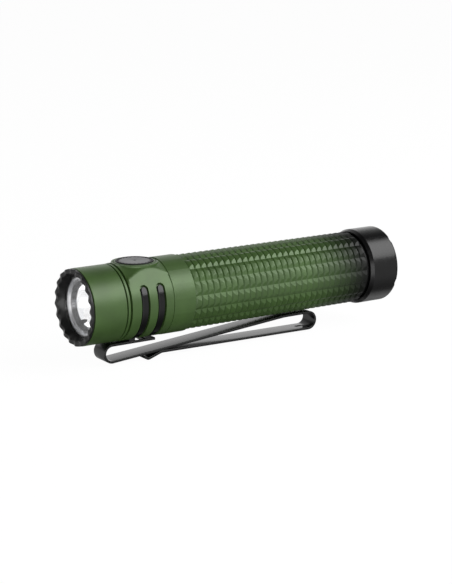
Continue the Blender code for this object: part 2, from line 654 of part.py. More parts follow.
def tail_cap(axis):
    """Screw cap with a shallow-scalloped rear rim, and the switch board held inside it."""
    bevel = 0.5 * MM
    recess = CAP_RADIUS - 1.3 * MM
    outline = [(CAP_START, CAP_RADIUS - 0.63 * MM), (CAP_START + 1.2 * MM, CAP_RADIUS)]
    outline += [(LENGTH - bevel, CAP_RADIUS), (LENGTH, CAP_RADIUS - bevel), (LENGTH, recess)]
    outline += [(CAP_WEB[1], recess), (CAP_WEB[1], TAIL_HOLE_RADIUS), (CAP_WEB[0], TAIL_HOLE_RADIUS)]
    outline += [(CAP_WEB[0], CAP_BORE), (CAP_START, CAP_BORE)]
    cap = turned("tail_cap", outline, ANODISED_BLACK, axis, ROUND)
    for number in range(RIM_SCALLOPS):
        degrees = RIM_SCALLOP_ANGLE + 360 * number / RIM_SCALLOPS
        scallop = scallop_cutter(f"rim_scallop_{number}", degrees)
        hang(scallop, axis)
        combine(cap, "DIFFERENCE", scallop)

    ring_front = TUBE_END + 0.5 * MM
    ring = tube_profile(ring_front, TAIL_BOARD_FRONT - GAP, 9.6 * MM, CAP_BORE - GAP)
    turned("tail_retaining_ring", ring, BRASS, axis)
    board_back = TAIL_BOARD_FRONT + 0.8 * MM
    turned("tail_switch_board", rod_profile(TAIL_BOARD_FRONT, board_back, CAP_BORE - GAP), CIRCUIT_BOARD, axis)
    turned("tail_tact_switch", rod_profile(board_back + GAP, 113.9 * MM, 3.0 * MM), STEEL, axis)
    coil("tail_contact_spring", CELL_END + GAP, TAIL_BOARD_FRONT - GAP, 4.2 * MM, 3, GOLD_PLATE, axis)
    boot = tube_profile(CAP_WEB[1] + GAP, CAP_WEB[1] + 0.9 * MM, TAIL_HOLE_RADIUS, recess - GAP)
    turned("tail_boot", boot, BLACK_RUBBER, axis)


def scallop_cutter(name, degrees):
    """A round cutter whose axis is a radius of the light, set to bite into the tail rim."""
    hub_x = LENGTH + RIM_SCALLOP_RADIUS - RIM_SCALLOP_DEPTH
    inner, outer = CAP_RADIUS - 2 * MM, CAP_RADIUS + MM
    angle = math.radians(degrees)
    radial = (-math.cos(angle), math.sin(angle))
    across = (math.sin(angle), math.cos(angle))
    built = bmesh.new()
    loops = []
    for reach in (inner, outer):
        loop = []
        for step in range(ROUND):
            turn = 2 * math.pi * step / ROUND
            side = RIM_SCALLOP_RADIUS * math.sin(turn)
            place = [reach * r + side * a for r, a in zip(radial, across)]
            loop.append(built.verts.new((hub_x + RIM_SCALLOP_RADIUS * math.cos(turn), *place)))
        loops.append(loop)
    for step in range(ROUND):
        after = (step + 1) % ROUND
        built.faces.new((loops[0][step], loops[0][after], loops[1][after], loops[1][step]))
    built.faces.new(loops[0])
    built.faces.new(loops[1])
    return object_from(name, built, None, LIGHT_AXIS)


def tail_button(axis):
    """Tail switch: rubber-faced button with a metal trim and a gold charging contact, moving as one."""
    flange = (113.9 * MM, 114.6 * MM)
    pocket_radius, pocket_floor = 4.2 * MM, 115.4 * MM
    face = TAIL_BUTTON_END - 0.6 * MM
    outline = [(flange[0], pocket_radius), (flange[0], 8.8 * MM), (flange[1], 8.8 * MM)]
    outline += [(flange[1], TAIL_BUTTON_RADIUS), (face, TAIL_BUTTON_RADIUS), (face, 0)]
    outline += [(pocket_floor, 0), (pocket_floor, pocket_radius)]
    turned("tail_button", outline, BLACK_PLASTIC, axis)
    trim = tube_profile(face + GAP, TAIL_BUTTON_END, 5.3 * MM, TAIL_BUTTON_RADIUS)
    turned("tail_button_trim", trim, BUTTON_STEEL, axis)
    insulator = tube_profile(face + GAP, TAIL_BUTTON_END, 2.1 * MM, 5.0 * MM)
    turned("tail_insulator", insulator, BLACK_RUBBER, axis)
    turned("tail_charge_contact", rod_profile(face + GAP, TAIL_BUTTON_END, 1.8 * MM), GOLD_PLATE, axis)


def lanyard_hole(parent):
    """Slot through the outer arm for a lanyard."""
    centre_x, half_length, half_width = 85.0 * MM, 1.5 * MM, 0.7 * MM
    low = (centre_x - half_length, -half_width, TAIL_HUB[1] - TAIL_RADIUS - MM)
    high = (centre_x + half_length, half_width, TAIL_HUB[1] - TAIL_RADIUS + MM)
    return block("lanyard_slot", low, high, None, parent)


def pocket_clip():
    """One strip of spring steel, split where it flexes: plate and claws, inner arm, outer arm."""
    plate = swept("pocket_clip_base", strip_sections(plate_path()), CLIP_STEEL, LIGHT_AXIS)
    for number, centre in enumerate(CLAW_CENTRES):
        claw = band(f"claw_{number}", centre, CLAW_WIDTH, CLAW_RADII, CLAW_TOP_ANGLE, None, LIGHT_AXIS)
        root_low = (centre - CLAW_WIDTH / 2 + 0.02 * MM, -2.6 * MM, CLIP_PLATE_TOP - SPRUNG_STRIP / 2)
        root_high = (centre + CLAW_WIDTH / 2 - 0.02 * MM, 2.6 * MM, -CLAW_RADII[0] - 0.05 * MM)
        root = block(f"claw_root_{number}", root_low, root_high, None, LIGHT_AXIS)
        combine(plate, "UNION", root, claw)

    front_hinge = empty("clip_front_hinge", (FRONT_HINGE[0], 0, FRONT_HINGE[1]), LIGHT_AXIS)
    swept("pocket_clip_inner_arm", strip_sections(inner_arm_path()), CLIP_STEEL, front_hinge)
    tail_hinge = empty("clip_tail_hinge", (TAIL_HINGE[0], 0, TAIL_HINGE[1]), LIGHT_AXIS)
    outer = swept("pocket_clip_outer_arm", strip_sections(outer_arm_path()), CLIP_STEEL, tail_hinge)
    combine(outer, "DIFFERENCE", lanyard_hole(tail_hinge))


def build():
    bezel_ring()
    light_engine()
    head_housing()
    side_switch()
    driver()
    body_tube()
    cell(empty("cell_axis", (CELL_FRONT, 0, 0), LIGHT_AXIS))
    tail_cap(empty("tail_cap_axis", (CAP_START, 0, 0), LIGHT_AXIS))
    tail_button(empty("tail_button_axis", (TAIL_BUTTON_FRONT, 0, 0), LIGHT_AXIS))
    pocket_clip()


build()
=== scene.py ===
"""Looks of the tactical flashlight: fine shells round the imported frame, their materials, light and camera.

Shapes are drawn in the light's own frame, in millimetres: x runs along the light from the bezel's front edge,
z is the height above the light's axis, and angles go round that axis in degrees, from the side that faces the
camera (0) over the top (90).
"""

import math

import bmesh
import bpy
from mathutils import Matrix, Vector

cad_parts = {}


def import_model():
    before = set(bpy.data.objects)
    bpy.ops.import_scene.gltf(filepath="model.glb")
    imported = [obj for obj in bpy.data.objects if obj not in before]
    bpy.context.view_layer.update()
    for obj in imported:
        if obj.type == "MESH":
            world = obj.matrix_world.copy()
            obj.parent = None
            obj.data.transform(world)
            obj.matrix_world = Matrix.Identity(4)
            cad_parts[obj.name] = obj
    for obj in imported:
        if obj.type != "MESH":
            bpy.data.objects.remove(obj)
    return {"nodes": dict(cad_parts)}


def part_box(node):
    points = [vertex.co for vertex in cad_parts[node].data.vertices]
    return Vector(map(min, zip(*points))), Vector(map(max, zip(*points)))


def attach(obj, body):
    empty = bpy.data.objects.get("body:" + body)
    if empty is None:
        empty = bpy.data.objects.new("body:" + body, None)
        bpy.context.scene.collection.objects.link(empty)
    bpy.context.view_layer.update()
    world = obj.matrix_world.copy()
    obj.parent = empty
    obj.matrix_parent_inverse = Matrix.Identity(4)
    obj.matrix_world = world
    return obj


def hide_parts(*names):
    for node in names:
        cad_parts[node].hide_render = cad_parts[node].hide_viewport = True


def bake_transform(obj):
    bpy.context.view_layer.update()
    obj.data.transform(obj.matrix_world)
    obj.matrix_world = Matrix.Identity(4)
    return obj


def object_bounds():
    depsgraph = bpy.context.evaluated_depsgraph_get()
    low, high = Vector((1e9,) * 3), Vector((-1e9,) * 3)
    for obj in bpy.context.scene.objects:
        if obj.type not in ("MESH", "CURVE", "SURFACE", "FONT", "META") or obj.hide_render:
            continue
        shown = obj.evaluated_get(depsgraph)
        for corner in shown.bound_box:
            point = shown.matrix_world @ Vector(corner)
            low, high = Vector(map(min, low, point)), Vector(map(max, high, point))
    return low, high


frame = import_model()
CAD_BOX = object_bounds()

MM = 0.001
FRONT = CAD_BOX[0].x
AXIS_HEIGHT = sum(corner.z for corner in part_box("battery_cell")) / 2


def extent(node):
    """Where a CAD node starts and ends along the light, and its radius, in millimetres."""
    low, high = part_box(node)
    return (low.x - FRONT) / MM, (high.x - FRONT) / MM, (high.y - low.y) / 2 / MM


def heights(node):
    """Lowest and highest point of a CAD node, in millimetres from the light's axis."""
    low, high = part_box(node)
    return (low.z - AXIS_HEIGHT) / MM, (high.z - AXIS_HEIGHT) / MM


# Sizes along the light
HEAD_START, SPIGOT_END, SWITCH_RADIUS = extent("head_housing")
NECK_START, TUBE_END, NECK_RADIUS = extent("body_tube")
CAP_START, LENGTH, CAP_RADIUS = extent("tail_cap")
BEZEL_RADIUS = extent("bezel_ring")[2]
HEAD_RADIUS = 12.08
NECK_END = 37.0
GRIP_END = extent("battery_cell")[1]
GRIP_RADIUS = 11.95
GAP = 0.3
TUBE_BORE = 9.7
THREAD_RADIUS = 11.1

# Bezel and lens
BEZEL_TEETH = 20
BEZEL_TOOTH_DEPTH = 0.55
BEZEL_TIP_ANGLE = 94.5
BEZEL_MOUTH = 10.6
BEZEL_SEAM = 1.0
BEZEL_SKIRT_END = 6.0
BEZEL_SKIRT = (10.25, 10.8)  # inner and outer radius
LENS_OPENING = 9.5
LIP_DEPTH = 2.3
OPTIC_START, OPTIC_END, OPTIC_RADIUS = extent("collimator_optic")
BOWL_SETBACK = 2.3  # from the optic's front to the bowl's mouth
BOWL_MOUTH, BOWL_FOOT = 6.6, 2.0  # radii
# Painted reflections on the optic: a white glowing bowl, a streaked dark ring and a black patch stand in for
# what the clear collimator reflects
BOWL_GLOW_EDGE = (6.5, 6.9)  # the optic is white inside the first radius and dark outside the second
REFLECTION_RING_EDGE = (7.5, 7.9)
DARK_REFLECTION_PLACE = (3.4, -6.1)  # centre of the bowl's black patch, across and up
DARK_REFLECTION_EDGE = (0.9, 1.1)

# Head and side switch
HEAD_GROOVES = ((12.33, 0.45), (13.55, 0.62))
GROOVE_DEPTH = 1.2
SWITCH_START = 14.4
SWITCH_X = sum(extent("side_button")[:2]) / 2
BOSS_TOP = heights("button_boot")[1]
BOSS_RIM = 7.4
BOSS_SEAT = 11.4
BOSS_CONE = (7.71, 11.26, 1.7)  # radius at a height, and how much it widens per millimetre below
BOSS_FLANK_ANGLE = 29.0
BOSS_SPAN = (14.55, 28.95)
POCKET_RADIUS = 5.95
POCKET_FLOOR = 8.3
ENGINE_BORE = 11.1  # round the bezel's skirt
ENGINE_END = 15.3
REAR_BORE_START = 18.2
BUTTON_RADIUS = extent("side_button")[2]
BUTTON_TOP = heights("side_button")[1]
BUTTON_NOTCHES = 24

# Grip
TEETH = 30
TOOTH_PITCH = 2.25
FIRST_TIP = 39.25
SECTORS = 16  # rows of lengthwise cuts
SECTOR_LINE = 5.0  # angle of the first row's deepest line
CUT_DEPTH = 0.5
CUT_REACH = (7.0, 7.5)  # degrees that a cut spreads above and below its deepest line
SECTOR_STATIONS = 6

# Tail cap
CAP_THREAD = 11.6
CAP_FLOOR = (114.9, 115.9)  # inside and outside face of the web round the button
CAP_HOLE = 7.7
SCALLOPS = 5
SCALLOP_AT = 50.0
SCALLOP_RADIUS = 2.4
SCALLOP_DEPTH = 0.35

# Clip
CLIP_WIDTH = extent("pocket_clip_inner_arm")[2] * 2
STRIP = 0.8
PLATE_TOP = -12.5
PLATE_END = 27.2
FRONT_BEND_X = 11.9
FRONT_BEND_RADIUS = 2.7
CLIP_SLOPE = math.radians(4.92)
CLIP_SEAM_X = 60.0
OUTER_LIP = ((29.6, -17.55, 3.0), (24.8, -19.19, 1.0), (23.5, -18.5))
LANYARD_SLOT = (85.0, 0.8, 0.7)  # middle along the clip, half its straight part, end radius
TAIL_BEND_X = 86.9
TAIL_BEND_RADIUS = 2.75
TAIL_TOP = -12.3
CLAW_CENTRES = (18.9, 24.7)
CLAW_WIDTH = 2.1
CLAW_RADII = (11.45, 12.15)
CLAW_TOP = 30.5
SLOT_WIDTH = 3.0
SLOT_TOP = 33.5

# Colours
GREEN = (0.064, 0.132, 0.029)
BLACK = (0.0030, 0.0030, 0.0032)
FADE_SPAN = (80.0, 106.0)

# Camera
CAMERA_AZIMUTH = -33.47
CAMERA_ELEVATION = 13.40
CAMERA_PLACE = (-0.29203, -0.43770, 0.14217)  # metres
CAMERA_LENS = 102.87

ROUND = 160  # facets round the big shells
FINE = 96  # facets round the small ones


# --- shapes ---------------------------------------------------------------------------------------


def around(along, radius, degrees):
    """Point on a circle round the light's axis."""
    angle = math.radians(degrees)
    return along, -radius * math.cos(angle), radius * math.sin(angle)


def upright(along, radius, degrees):
    """Point on a circle round the side switch's own upright axis, at the height along."""
    angle = math.radians(degrees)
    return SWITCH_X + radius * math.cos(angle), radius * math.sin(angle), along


def world(point):
    return Vector((FRONT + point[0] * MM, point[1] * MM, AXIS_HEIGHT + point[2] * MM))


def filleted(corners, step=15):
    """An outline whose (x, y, rounding) corners become arcs. The first and last corner stay as they are."""
    points = [tuple(corners[0][:2])]
    for before, corner, after in zip(corners, corners[1:], corners[2:]):
        if len(corner) == 2:
            points.append(tuple(corner))
            continue
        x, y, rounding = corner
        turn_in = math.atan2(y - before[1], x - before[0])
        turn_out = math.atan2(after[1] - y, after[0] - x)
        turn = math.remainder(turn_out - turn_in, 2 * math.pi)
        reach = rounding * math.tan(abs(turn) / 2)
        side = math.copysign(1, turn)
        hub_x = x - reach * math.cos(turn_in) - side * rounding * math.sin(turn_in)
        hub_y = y - reach * math.sin(turn_in) + side * rounding * math.cos(turn_in)
        count = max(2, math.ceil(abs(math.degrees(turn)) / step))
        for index in range(count + 1):
            heading = turn_in + turn * index / count
            sine, cosine = math.sin(heading), math.cos(heading)
            points.append((hub_x + side * rounding * sine, hub_y - side * rounding * cosine))
    points.append(tuple(corners[-1][:2]))
    return points


def ring_outline(corners):
    """A closed outline with every corner filleted: it starts and ends in the middle of its first side."""
    (ax, ay), (bx, by) = corners[-1][:2], corners[0][:2]
    middle = ((ax + bx) / 2, (ay + by) / 2)
    return filleted([middle, *corners, middle])[:-1]


def build(name, points, faces):
    """A mesh object from points in the light's frame, its faces turned outwards."""
    mesh = bpy.data.meshes.new(name)
    mesh.from_pydata([world(point) for point in points], [], faces)
    shell = bmesh.new()
    shell.from_mesh(mesh)
    bmesh.ops.recalc_face_normals(shell, faces=shell.faces)
    shell.to_mesh(mesh)
    shell.free()
    made = bpy.data.objects.new(name, mesh)
    bpy.context.scene.collection.objects.link(made)
    return made


def turned(name, outline, facets=ROUND, place=around, shape=None, angles=None):
    """A solid of revolution. The outline holds (along, radius) points; where it meets the axis it closes.

    shape moves each (along, radius, degrees) point before it is placed. It can also turn other numbers, given
    as angles, into degrees."""
    angles = angles or [360 * index / facets for index in range(facets)]
    points, faces, rings = [], [], []
    for along, radius in outline:
        first = len(points)
        if radius < 1e-6:
            points.append(place(along, 0, 0))
            rings.append([first] * len(angles))
            continue
        for degrees in angles:
            moved = shape(along, radius, degrees) if shape else (along, radius, degrees)
            points.append(place(*moved))
        rings.append(list(range(first, first + len(angles))))
    on_axis = outline[0][1] < 1e-6
    pairs = zip(rings, rings[1:]) if on_axis else zip(rings, rings[1:] + rings[:1])
    for one, other in pairs:
        for index in range(len(angles)):
            after = (index + 1) % len(angles)
            corners = dict.fromkeys((one[index], one[after], other[after], other[index]))
            if len(corners) > 2:
                faces.append(tuple(corners))
    return build(name, points, faces)


def swept(name, sections):
    """A solid through a row of sections that have the same number of points."""
    count = len(sections[0])
    points = [point for section in sections for point in section]
    faces = [tuple(range(count)), tuple(range(len(points) - count, len(points)))]
    for start in range(0, len(points) - count, count):
        for index in range(count):
            after = (index + 1) % count
            faces.append((start + index, start + after, start + count + after, start + count + index))
    return build(name, points, faces)


def block(name, low, high):
    """A box between two opposite corners."""
    corners = ((low[1], low[2]), (high[1], low[2]), (high[1], high[2]), (low[1], high[2]))
    return swept(name, [[(x, *corner) for corner in corners] for x in (low[0], high[0])])


def band(name, centre, width, radii, top, rounding=0.0):
    """A band round the light's bottom, from the angle top on one side to the other, with round ends."""
    half = width / 2
    middle = sum(radii) / 2
    end_angle = math.degrees(half / middle)
    cuts = [90 * index / 10 for index in range(11)]
    ends = [(top + end_angle * (math.cos(math.radians(c)) - 1), math.sin(math.radians(c))) for c in cuts]
    ends[0] = (ends[0][0], 0.04)
    stations = ends[:]
    spread = ends[-1][0] * 2 + 180
    for index in range(1, 60):
        stations.append((ends[-1][0] - spread * index / 60, 1.0))
    stations += [(-180 - degrees, share) for degrees, share in reversed(ends)]
    sections = []
    for degrees, share in stations:
        reach = half * share
        corner = min(rounding, reach / 2)
        outline = [(-reach, radii[0]), (-reach, radii[1] - corner), (-reach + corner, radii[1])]
        outline += [(reach - corner, radii[1]), (reach, radii[1] - corner), (reach, radii[0])]
        if corner == 0:
            outline = [(-reach, radii[0]), (-reach, radii[1]), (reach, radii[1]), (reach, radii[0])]
        sections.append([around(centre + along, radius, degrees) for along, radius in outline])
    return swept(name, sections)


def combine(target, operation, *tools):
    """Cuts the tools from target, or joins them to it, and throws them away."""
    for tool in tools:
        modifier = target.modifiers.new(tool.name, "BOOLEAN")
        modifier.operation = operation
        modifier.object = tool
    apply_modifiers(target)
    for tool in tools:
        bpy.data.objects.remove(tool)
    return target


def apply_modifiers(target):
    """Replaces the mesh with what its modifiers make of it."""
    bpy.context.view_layer.update()
    evaluated = target.evaluated_get(bpy.context.evaluated_depsgraph_get())
    mesh = bpy.data.meshes.new_from_object(evaluated)
    target.modifiers.clear()
    target.data = mesh


def finish(target, body, slot, *nodes, sharp=38, look=None):
    """Shades a piece, gives it its material, and says which body it rides on and which nodes it replaces.

    The material is the slot's own unless look names another."""
    target.data.shade_smooth()
    target.data.set_sharp_from_angle(angle=math.radians(sharp))
    target.data.materials.clear()
    target.data.materials.append(MATERIALS[look or slot])
    if body:
        even = target.modifiers.new("even_shading", "WEIGHTED_NORMAL")
        even.keep_sharp = True
        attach(target, body)
    if nodes:
        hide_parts(*nodes)
    return target


# --- materials ------------------------------------------------------------------------------------


class Nodes:
    """Short hand for building one material's node tree."""

    def __init__(self, tree):
        self.tree = tree
        self.place = self.add("ShaderNodeTexCoord").outputs["Object"]

    def add(self, kind, inputs=None, **settings):
        node = self.tree.nodes.new(kind)
        for name, value in settings.items():
            setattr(node, name, value)
        for name, value in (inputs or {}).items():
            if isinstance(value, bpy.types.NodeSocket):
                self.tree.links.new(value, node.inputs[name])
            else:
                node.inputs[name].default_value = value
        return node

    def noise(self, size, detail=3.0, stretch=(1, 1, 1)):
        """Noise whose features are about size millimetres across, 0 to 1."""
        scale = [1 / (size * MM) * factor for factor in stretch]
        mapped = self.add("ShaderNodeMapping", {"Vector": self.place, "Scale": scale}).outputs[0]
        inputs = {"Vector": mapped, "Scale": 1.0, "Detail": detail}
        return self.add("ShaderNodeTexNoise", inputs).outputs["Fac"]

    def ranged(self, value, low, high, to_low, to_high, smooth=False):
        inputs = {"Value": value, "From Min": low, "From Max": high, "To Min": to_low, "To Max": to_high}
        kind = "SMOOTHSTEP" if smooth else "LINEAR"
        return self.add("ShaderNodeMapRange", inputs, interpolation_type=kind).outputs[0]

    def mixed(self, factor, one, other):
        node = self.add("ShaderNodeMix", data_type="RGBA")
        for index, value in ((0, factor), (6, one), (7, other)):
            if isinstance(value, bpy.types.NodeSocket):
                self.tree.links.new(value, node.inputs[index])
            else:
                node.inputs[index].default_value = value if index == 0 else (*value, 1.0)
        return node.outputs[2]

    def bump(self, height, depth, strength=1.0):
        inputs = {"Height": height, "Distance": depth * MM, "Strength": strength}
        return self.add("ShaderNodeBump", inputs).outputs[0]


def surface(
    name, colour, roughness, metallic=0.0, grain=0.3, depth=0.01, spread=0.12, rough_spread=0.05
):
    """A Principled material whose colour and roughness drift a little, with a fine grain in its surface.

    colour is one colour, or a function that makes a colour socket from the Nodes it is given."""
    made = bpy.data.materials.new(name)
    made.use_nodes = True
    tree = made.node_tree
    shader = tree.nodes["Principled BSDF"]
    nodes = Nodes(tree)
    drift = nodes.noise(6.0)
    flat = colour(nodes) if callable(colour) else colour
    if callable(colour):
        shade = nodes.add("ShaderNodeHueSaturation", {"Color": flat})
        tree.links.new(nodes.ranged(drift, 0.3, 0.7, 1 - spread, 1 + spread), shade.inputs["Value"])
        tree.links.new(shade.outputs[0], shader.inputs["Base Color"])
    else:
        low = [channel * (1 - spread) for channel in flat]
        high = [channel * (1 + spread) for channel in flat]
        factor = nodes.ranged(drift, 0.3, 0.7, 0.0, 1.0)
        tree.links.new(nodes.mixed(factor, low, high), shader.inputs["Base Color"])
    fine = nodes.noise(grain, detail=2.0)
    rough = nodes.ranged(fine, 0.3, 0.7, roughness - rough_spread, roughness + rough_spread)
    tree.links.new(rough, shader.inputs["Roughness"])
    tree.links.new(nodes.bump(fine, depth), shader.inputs["Normal"])
    shader.inputs["Metallic"].default_value = metallic
    return made


def faded(nodes, first, last):
    """A value that goes from first to last where the green turns black towards the tail."""
    along = nodes.add("ShaderNodeSeparateXYZ", {"Vector": nodes.place}).outputs["X"]
    start, end = world((FADE_SPAN[0], 0, 0)).x, world((FADE_SPAN[1], 0, 0)).x
    return nodes.ranged(along, start, end, first, last, smooth=True)


def fading_green(nodes):
    """Olive green that turns black towards the tail."""
    return nodes.mixed(faded(nodes, 0.0, 1.0), GREEN, BLACK)


def optic_reflection_masks(nodes):
    """How much a point belongs to the painted white bowl, to the painted dark reflections, and outside the
    painted black reflection patch, each 0 to 1.
    """
    parts = nodes.add("ShaderNodeSeparateXYZ", {"Vector": nodes.place}).outputs
    height = nodes.add("ShaderNodeMath", {0: parts["Z"], 1: AXIS_HEIGHT}, operation="SUBTRACT").outputs[0]
    across = nodes.add("ShaderNodeCombineXYZ", {"Y": parts["Y"], "Z": height}).outputs[0]
    radius = nodes.add("ShaderNodeVectorMath", {0: across}, operation="LENGTH").outputs["Value"]
    bowl = nodes.ranged(radius, BOWL_GLOW_EDGE[0] * MM, BOWL_GLOW_EDGE[1] * MM, 1.0, 0.0, smooth=True)
    inside = nodes.ranged(radius, REFLECTION_RING_EDGE[0] * MM, REFLECTION_RING_EDGE[1] * MM, 1.0, 0.0, smooth=True)
    centre = (0, DARK_REFLECTION_PLACE[0] * MM, DARK_REFLECTION_PLACE[1] * MM)
    spot = nodes.add("ShaderNodeVectorMath", {0: across, 1: centre}, operation="DISTANCE")
    patch = nodes.ranged(spot.outputs["Value"], DARK_REFLECTION_EDGE[0] * MM, DARK_REFLECTION_EDGE[1] * MM, 0.0, 1.0, smooth=True)
    white = nodes.add("ShaderNodeMath", {0: bowl, 1: patch}, operation="MULTIPLY").outputs[0]
    dark = nodes.add("ShaderNodeMath", {0: inside, 1: white}, operation="SUBTRACT").outputs[0]
    return white, dark, patch


def optic_painted_reflections(nodes):
    """Painted reflections: white bowl and outer ring, with a streaked dark ring between them and a black
    patch, standing in for what the clear collimator reflects.
    """
    _, dark, patch = optic_reflection_masks(nodes)
    # painted reflections: dark ring with lighter streaks, a black patch, and the white bowl
    reflection_streaks = nodes.ranged(nodes.noise(0.8, stretch=(0.2, 1, 1)), 0.35, 0.65, 0.0, 1.0)
    ring = nodes.mixed(reflection_streaks, (0.02, 0.02, 0.022), (0.22, 0.22, 0.23))
    shade = nodes.mixed(patch, (0.002, 0.002, 0.002), ring)
    return nodes.mixed(dark, (0.88, 0.88, 0.90), shade)


MATERIALS = {
    "anodised_green": surface("anodised_green", fading_green, 0.42, grain=0.12, depth=0.003),
    "anodised_black": surface("anodised_black", BLACK, 0.27, grain=0.12, depth=0.003, spread=0.3),
    "worn_black": surface("worn_black", (0.011, 0.011, 0.011), 0.36, grain=0.12, depth=0.003, spread=0.3),
    "clip_steel": surface("clip_steel", BLACK, 0.17, grain=0.2, depth=0.001, spread=0.3, rough_spread=0.03),
    "button_steel": surface("button_steel", (0.09, 0.09, 0.095), 0.38, 0.4, grain=0.15, depth=0.003),
    "black_rubber": surface("black_rubber", (0.006, 0.006, 0.006), 0.6, grain=0.2, depth=0.01),
    "clear_glass": surface(
        "clear_glass", (0.98, 0.99, 1.0), 0.02, grain=3.0, depth=0.0002, rough_spread=0.005
    ),
    # the optic's colour is painted reflections
    "clear_optic": surface("clear_optic", optic_painted_reflections, 0.12, 0.9, grain=2.0, depth=0.002),
    "black_plastic": surface("black_plastic", (0.010, 0.010, 0.011), 0.45, grain=0.3, depth=0.01),
    "led_yellow": surface("led_yellow", (0.85, 0.72, 0.18), 0.4, grain=0.3, depth=0.004),
    "copper": surface("copper", (0.72, 0.38, 0.24), 0.3, 1.0, grain=0.5, depth=0.004),
    "circuit_board": surface("circuit_board", (0.015, 0.13, 0.05), 0.4, grain=0.8, depth=0.01),
    "brass": surface("brass", (0.72, 0.54, 0.25), 0.28, 1.0, grain=0.5, depth=0.003),
    "gold_plate": surface("gold_plate", (0.86, 0.62, 0.26), 0.22, 1.0, grain=0.5, depth=0.002),
    "steel": surface("steel", (0.56, 0.56, 0.57), 0.3, 1.0, grain=0.4, depth=0.003),
    "cell_wrap": surface("cell_wrap", (0.020, 0.020, 0.024), 0.3, grain=1.5, depth=0.01),
    "white_paper": surface("white_paper", (0.82, 0.82, 0.78), 0.85, grain=0.2, depth=0.01),
    "red_wire": surface("red_wire", (0.55, 0.02, 0.015), 0.45, grain=0.4, depth=0.01),
    "black_wire": surface("black_wire", (0.015, 0.015, 0.015), 0.45, grain=0.4, depth=0.01),
}


def paint_bowl_glow():
    """The bowl looks white: it is painted to glow though it is no lamp, standing in for the light that a real
    collimator gathers from all round.
    """
    tree = MATERIALS["clear_optic"].node_tree
    shader = tree.nodes["Principled BSDF"]
    nodes = Nodes(tree)
    white, _, _ = optic_reflection_masks(nodes)
    # painted glow: the white bowl gives off light
    tree.links.new(nodes.mixed(white, (0.0, 0.0, 0.0), (1.0, 1.0, 1.0)), shader.inputs["Emission Color"])
    shader.inputs["Emission Strength"].default_value = 0.8


def dull_tail():
    """The black end of the tube shines less than its green end."""
    tree = MATERIALS["anodised_green"].node_tree
    shader = tree.nodes["Principled BSDF"]
    nodes = Nodes(tree)
    tree.links.new(faded(nodes, 0.8, 0.3), shader.inputs["Specular IOR Level"])
    tree.links.new(faded(nodes, 0.2, 0.0), shader.inputs["Metallic"])


paint_bowl_glow()
dull_tail()
MATERIALS["clear_glass"].node_tree.nodes["Principled BSDF"].inputs["Transmission Weight"].default_value = 1.0


# --- the light's pieces ---------------------------------------------------------------------------


def bezel():
    """Strike bezel: a front edge of round teeth, a cone down to the lens, and the threaded skirt."""

    def teeth(along, radius, degrees):
        depth = BEZEL_TOOTH_DEPTH * max(0.0, 1 - along / BEZEL_SEAM)
        turn = math.radians((degrees - BEZEL_TIP_ANGLE) * BEZEL_TEETH)
        return along + depth * (1 - math.cos(turn)) / 2, radius, degrees

    lip_back = LIP_DEPTH + GAP
    skirt_inner, skirt_outer = BEZEL_SKIRT
    outline = ring_outline([
        (0, BEZEL_MOUTH, 0.2),
        (0, BEZEL_RADIUS, 0.25),
        (BEZEL_SEAM, BEZEL_RADIUS, 0.1),
        (BEZEL_SEAM, skirt_outer),
        (BEZEL_SKIRT_END, skirt_outer),
        (BEZEL_SKIRT_END, skirt_inner),
        (lip_back, skirt_inner),
        (lip_back, LENS_OPENING),
        (LIP_DEPTH, LENS_OPENING, 0.1),
    ])
    made = turned("strike_bezel", outline, BEZEL_TEETH * 12, shape=teeth)
    finish(made, "light", "anodised_black", "bezel_ring", look="worn_black")


def lens():
    """Front glass: a thin pane just inside the lip, stepped back to the flange that the gasket seals."""
    start, end, outer = extent("lens_glass")
    pane = LENS_OPENING - 0.12
    front = LIP_DEPTH + 0.1
    outline = filleted([
        (front, 0),
        (front, pane, 0.08),
        (start, pane),
        (start, outer, 0.1),
        (start + 0.5, outer),
        (start + 0.5, pane - 0.25),
        (front + 0.5, pane - 0.25),
        (front + 0.5, 0),
    ])
    made = turned("lens", outline, FINE)
    finish(made, "light", "clear_glass", "lens_glass")
    made.visible_shadow = False


def optic():
    """Clear collimator seen through the lens: bright stepped rings round a bowl that narrows to the LED."""
    front = LIP_DEPTH + 0.85
    ring = LENS_OPENING - 0.45
    face = filleted([
        (OPTIC_START, OPTIC_RADIUS - 0.1),
        (OPTIC_START, ring),
        (front, ring, 0.08),
        (front, ring - 0.35, 0.05),
        (front + 0.35, ring - 0.42, 0.05),
        (front + 0.3, ring - 0.6, 0.05),
        (front + 0.1, ring - 0.7, 0.05),
        (front + 0.85, 7.5, 0.1),
        (front + 2.2, 6.8, 0.1),
        (front + BOWL_SETBACK, BOWL_MOUTH),
    ])
    bowl = []
    depth = OPTIC_END - 3.1 - front
    for index in range(1, 13):
        share = index / 12
        radius = BOWL_MOUTH - (BOWL_MOUTH - BOWL_FOOT) * share**1.3
        bowl.append((front + BOWL_SETBACK + depth * share, radius))
    back = [(front + BOWL_SETBACK + depth, 0)]
    outside = [(OPTIC_END, 0), (OPTIC_END, 3.3)]
    flange_end = OPTIC_START + 0.9
    for share in (0.75, 0.5, 0.25, 0):
        outside.append((flange_end + (OPTIC_END - flange_end) * share, 8.9 - 5.6 * share**1.5))
    outside += [(flange_end, OPTIC_RADIUS - 0.1)]
    made = turned("optic", outside + face + bowl + back, FINE * 2)
    finish(made, "light", "clear_optic", "collimator_optic")


def soft_least(one, other, width):
    """The smaller of two numbers, rounded off where they are nearly the same."""
    share = max(0.0, 1 - abs(one - other) / width)
    return min(one, other) - share**2 * width / 4


